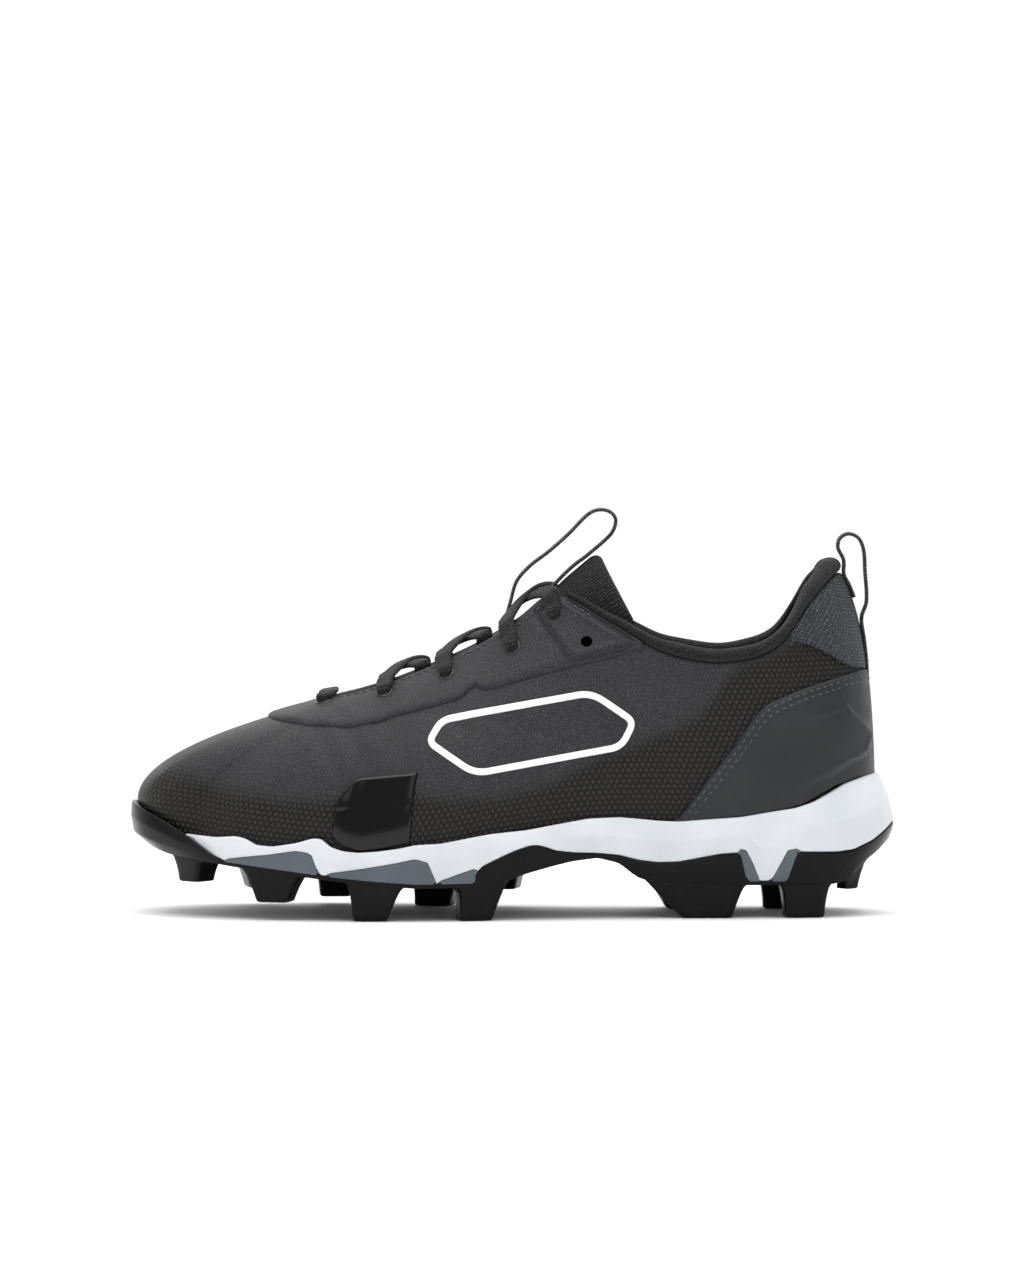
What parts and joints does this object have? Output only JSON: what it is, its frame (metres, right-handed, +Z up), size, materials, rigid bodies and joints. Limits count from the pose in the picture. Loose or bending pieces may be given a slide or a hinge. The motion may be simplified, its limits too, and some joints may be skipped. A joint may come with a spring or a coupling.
{
  "type": "baseball cleat",
  "caption": "Youth baseball cleat for the left foot, with a moulded lugged sole, a hollow laced upper, a padded tongue and two pull loops.",
  "frame": {"origin": "on the floor under the middle of the shoe's bounding box", "axes": "+X from the heel to the toe, +Y to the outer side of the left foot, +Z up"},
  "size_m": [0.2496, 0.0929, 0.1326],
  "materials": {
    "outsole_rubber": "moulded, semi-gloss",
    "midsole_foam": "moulded foam, matt",
    "insert_rubber": "moulded, satin",
    "upper_synthetic": "embossed coated fabric",
    "counter_film": "smooth film, satin",
    "patch_film": "glossy film",
    "black_knit": "knitted and woven polyester",
    "grey_woven": "woven polyester",
    "lining_fabric": "brushed lining"
  },
  "bodies": {
    "root": {"outsole": "outsole_rubber", "midsole": "midsole_foam", "upper": "upper_synthetic", "heel_counter": "counter_film", "heel_tab": "grey_woven", "eyestay": "upper_synthetic", "side_patch": "patch_film", "collar": "black_knit", "tongue": "black_knit", "insole": "lining_fabric", "tongue_loop": "black_knit", "heel_loop": "grey_woven", "lace_bar": "black_knit", "lace_cross_1": "black_knit", "lace_cross_2": "black_knit", "lace_cross_3": "black_knit", "insert_toe_outer": "insert_rubber", "insert_toe_inner": "insert_rubber", "insert_ball_outer": "insert_rubber", "insert_ball_inner": "insert_rubber", "insert_waist_outer": "insert_rubber", "insert_waist_inner": "insert_rubber", "insert_heel_front_outer": "insert_rubber", "insert_heel_front_inner": "insert_rubber", "insert_heel_rear_outer": "insert_rubber", "insert_heel_rear_inner": "insert_rubber"}
  },
  "joints": []
}
